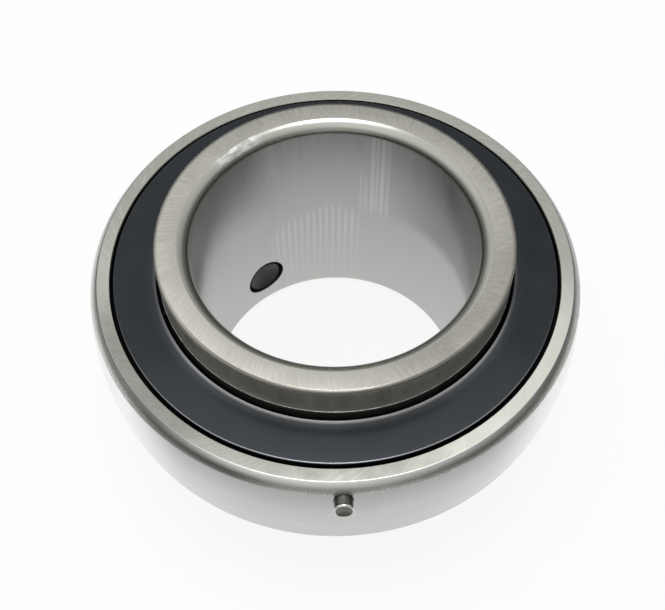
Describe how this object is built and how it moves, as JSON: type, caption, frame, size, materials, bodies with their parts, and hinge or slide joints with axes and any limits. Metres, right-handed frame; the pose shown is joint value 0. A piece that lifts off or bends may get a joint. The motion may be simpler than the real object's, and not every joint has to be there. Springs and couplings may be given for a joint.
{
  "type": "insert bearing",
  "caption": "Insert ball bearing with a ball-shaped outside, a wide inner ring clamped to its shaft by set screws, a black flinger each side and a locking pin.",
  "frame": {"origin": "on the shaft's axis in the plane of the lower face, the wide end of the inner ring, on which it stands; the balls' centres lie 32.6 mm above", "axes": "+Z along the shaft's axis towards the short end of the inner ring; one grease hole of the outer ring points towards -X, and the other and the locking pin stand 60 degrees each side of +X, the pin towards -Y; as modelled the set screws, on the wide end, stand at 35.7 and 155.7 degrees from +X towards +Y"},
  "size_m": [0.09, 0.09, 0.0516],
  "materials": {
    "ring_steel": "ground bearing steel, satin",
    "ball_steel": "lapped bearing steel, mirror bright",
    "cage_steel": "pressed sheet steel, dull",
    "rivet_steel": "upset steel wire, dull",
    "zinc_steel": "zinc plated sheet steel",
    "black_steel": "blue-black oxide on sheet steel, satin",
    "screw_steel": "black oxide on alloy steel",
    "pin_steel": "plain steel, slightly dark",
    "rubber": "moulded nitrile rubber, matte"
  },
  "bodies": {
    "outer": {"outer_ring": "ring_steel", "locking_pin": "pin_steel", "seal_plate_upper": "zinc_steel", "seal_plate_lower": "zinc_steel", "seal_lip_upper": "rubber", "seal_lip_lower": "rubber"},
    "inner": {"inner_ring": "ring_steel", "flinger_upper": "black_steel", "flinger_lower": "black_steel"},
    "cage": {"cage_upper": "cage_steel", "cage_lower": "cage_steel", "cage_rivet_01": "rivet_steel", "cage_rivet_02": "rivet_steel", "cage_rivet_03": "rivet_steel", "cage_rivet_04": "rivet_steel", "cage_rivet_05": "rivet_steel", "cage_rivet_06": "rivet_steel", "cage_rivet_07": "rivet_steel", "cage_rivet_08": "rivet_steel", "cage_rivet_09": "rivet_steel", "cage_rivet_10": "rivet_steel"},
    "screw_1": {"set_screw_1": "screw_steel"},
    "screw_2": {"set_screw_2": "screw_steel"},
    "rolling_ball_01": {"ball_01": "ball_steel"},
    "rolling_ball_02": {"ball_02": "ball_steel"},
    "rolling_ball_03": {"ball_03": "ball_steel"},
    "rolling_ball_04": {"ball_04": "ball_steel"},
    "rolling_ball_05": {"ball_05": "ball_steel"},
    "rolling_ball_06": {"ball_06": "ball_steel"},
    "rolling_ball_07": {"ball_07": "ball_steel"},
    "rolling_ball_08": {"ball_08": "ball_steel"},
    "rolling_ball_09": {"ball_09": "ball_steel"},
    "rolling_ball_10": {"ball_10": "ball_steel"}
  },
  "joints": [
    {"name": "inner_ring_turn", "type": "hinge", "parent": "outer", "child": "inner", "pos_m": [0, 0, 0.0326], "axis": [0, 0, 1], "continuous": true},
    {"name": "cage_turn", "type": "hinge", "parent": "outer", "child": "cage", "pos_m": [0, 0, 0.0326], "axis": [0, 0, 1], "continuous": true},
    {"name": "ball_01_roll", "type": "hinge", "parent": "cage", "child": "rolling_ball_01", "pos_m": [0.03329, 0.01082, 0.0326], "axis": [0, 0, 1], "continuous": true},
    {"name": "ball_02_roll", "type": "hinge", "parent": "cage", "child": "rolling_ball_02", "pos_m": [0.02057, 0.02832, 0.0326], "axis": [0, 0, 1], "continuous": true},
    {"name": "ball_03_roll", "type": "hinge", "parent": "cage", "child": "rolling_ball_03", "pos_m": [0, 0.035, 0.0326], "axis": [0, 0, 1], "continuous": true},
    {"name": "ball_04_roll", "type": "hinge", "parent": "cage", "child": "rolling_ball_04", "pos_m": [-0.02057, 0.02832, 0.0326], "axis": [0, 0, 1], "continuous": true},
    {"name": "ball_05_roll", "type": "hinge", "parent": "cage", "child": "rolling_ball_05", "pos_m": [-0.03329, 0.01082, 0.0326], "axis": [0, 0, 1], "continuous": true},
    {"name": "ball_06_roll", "type": "hinge", "parent": "cage", "child": "rolling_ball_06", "pos_m": [-0.03329, -0.01082, 0.0326], "axis": [0, 0, 1], "continuous": true},
    {"name": "ball_07_roll", "type": "hinge", "parent": "cage", "child": "rolling_ball_07", "pos_m": [-0.02057, -0.02832, 0.0326], "axis": [0, 0, 1], "continuous": true},
    {"name": "ball_08_roll", "type": "hinge", "parent": "cage", "child": "rolling_ball_08", "pos_m": [0, -0.035, 0.0326], "axis": [0, 0, 1], "continuous": true},
    {"name": "ball_09_roll", "type": "hinge", "parent": "cage", "child": "rolling_ball_09", "pos_m": [0.02057, -0.02832, 0.0326], "axis": [0, 0, 1], "continuous": true},
    {"name": "ball_10_roll", "type": "hinge", "parent": "cage", "child": "rolling_ball_10", "pos_m": [0.03329, -0.01082, 0.0326], "axis": [0, 0, 1], "continuous": true},
    {"name": "set_screw_1_travel", "type": "slide", "parent": "inner", "child": "screw_1", "axis": [0.9114, -0.4115, 0], "range_m": [-0.003, 0.0021]},
    {"name": "set_screw_2_travel", "type": "slide", "parent": "inner", "child": "screw_2", "axis": [-0.8121, -0.5835, 0], "range_m": [-0.003, 0.0021]}
  ],
  "couplings": [
    {"joint": "cage_turn", "follows": "inner_ring_turn", "ratio": 0.40929},
    {"joint": "ball_01_roll", "follows": "inner_ring_turn", "ratio": -2.6652},
    {"joint": "ball_02_roll", "follows": "inner_ring_turn", "ratio": -2.6652},
    {"joint": "ball_03_roll", "follows": "inner_ring_turn", "ratio": -2.6652},
    {"joint": "ball_04_roll", "follows": "inner_ring_turn", "ratio": -2.6652},
    {"joint": "ball_05_roll", "follows": "inner_ring_turn", "ratio": -2.6652},
    {"joint": "ball_06_roll", "follows": "inner_ring_turn", "ratio": -2.6652},
    {"joint": "ball_07_roll", "follows": "inner_ring_turn", "ratio": -2.6652},
    {"joint": "ball_08_roll", "follows": "inner_ring_turn", "ratio": -2.6652},
    {"joint": "ball_09_roll", "follows": "inner_ring_turn", "ratio": -2.6652},
    {"joint": "ball_10_roll", "follows": "inner_ring_turn", "ratio": -2.6652}
  ]
}
